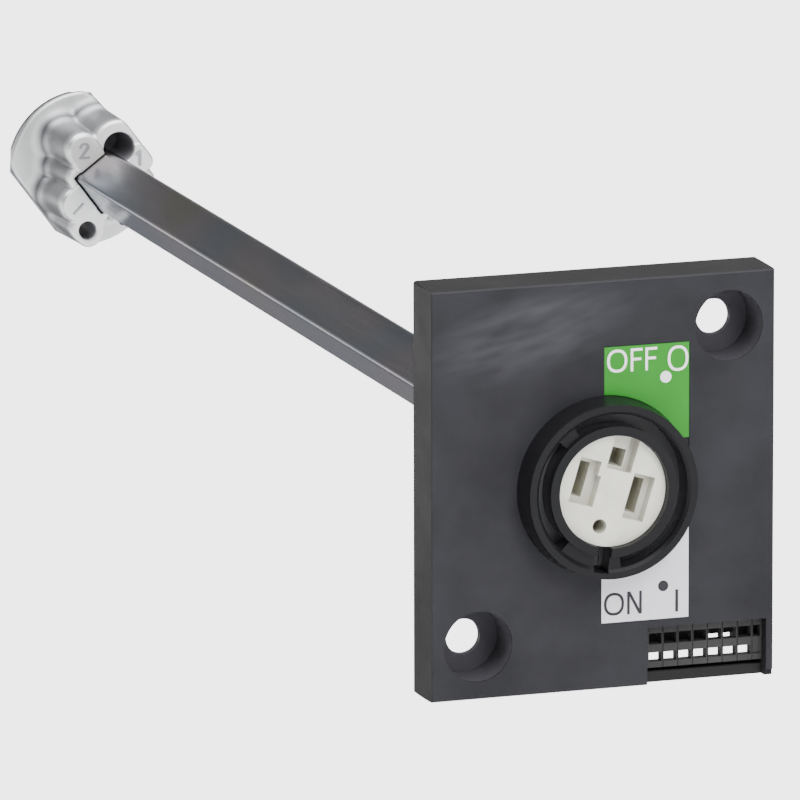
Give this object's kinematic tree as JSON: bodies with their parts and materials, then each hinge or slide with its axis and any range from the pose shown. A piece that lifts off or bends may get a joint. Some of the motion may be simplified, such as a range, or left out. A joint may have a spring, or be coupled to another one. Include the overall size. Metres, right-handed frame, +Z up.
{
  "type": "rotary operator extension for a circuit breaker",
  "caption": "Black front plate with a round collar and ivory drive socket, on a long square steel shaft that ends in a die-cast coupling.",
  "frame": {"origin": "on the turning axis, in the plane of the plate's back face, which is the centre of its two fixing holes", "axes": "+X to the right and +Z up as seen from the front, +Y from the plate along the shaft to the coupling; the front faces -Y"},
  "size_m": [0.0702, 0.3447, 0.0812],
  "materials": {
    "black_housing": "fine spark-textured moulding",
    "black_collar": "satin moulding",
    "green_foil": "satin printed film",
    "white_foil": "satin printed film",
    "white_ink": "printed ink",
    "grey_ink": "printed ink",
    "black_grille": "moulded",
    "plated_sheet": "zinc plated sheet",
    "plated_screws": "zinc plated",
    "bearing_plastic": "acetal, moulded",
    "ivory_plastic": "polyamide, moulded",
    "spring_steel": "oiled spring steel",
    "plated_bar": "drawn, bright zinc plated",
    "die_cast": "blasted pressure die casting",
    "dark_plate": "dark zinc plated sheet"
  },
  "bodies": {
    "plate": {"face_plate": "black_housing", "guard_collar": "black_collar", "off_label": "green_foil", "on_label": "white_foil", "off_print": "white_ink", "on_print": "grey_ink", "window_grille": "black_grille", "retainer_plate": "plated_sheet", "retainer_screws": "plated_screws", "bearing_bush": "bearing_plastic", "thrust_washer": "spring_steel"},
    "rotor": {"drive_socket": "ivory_plastic", "retaining_ring": "spring_steel", "square_shaft": "plated_bar", "shaft_pin": "spring_steel"},
    "coupling": {"coupling_casting": "die_cast", "casting_marks": "die_cast", "back_plate": "dark_plate", "plate_rivets": "plated_screws", "clamp_screw": "spring_steel", "clamp_nut": "plated_screws"}
  },
  "joints": [
    {"name": "rotor_turn", "type": "hinge", "parent": "plate", "child": "rotor", "pos_m": [0, 0, 0], "axis": [0, -1, 0], "range_deg": [-43, 77]},
    {"name": "coupling_slide", "type": "slide", "parent": "rotor", "child": "coupling", "axis": [0, 1, 0], "range_m": [-0.0035, 0.006]}
  ]
}
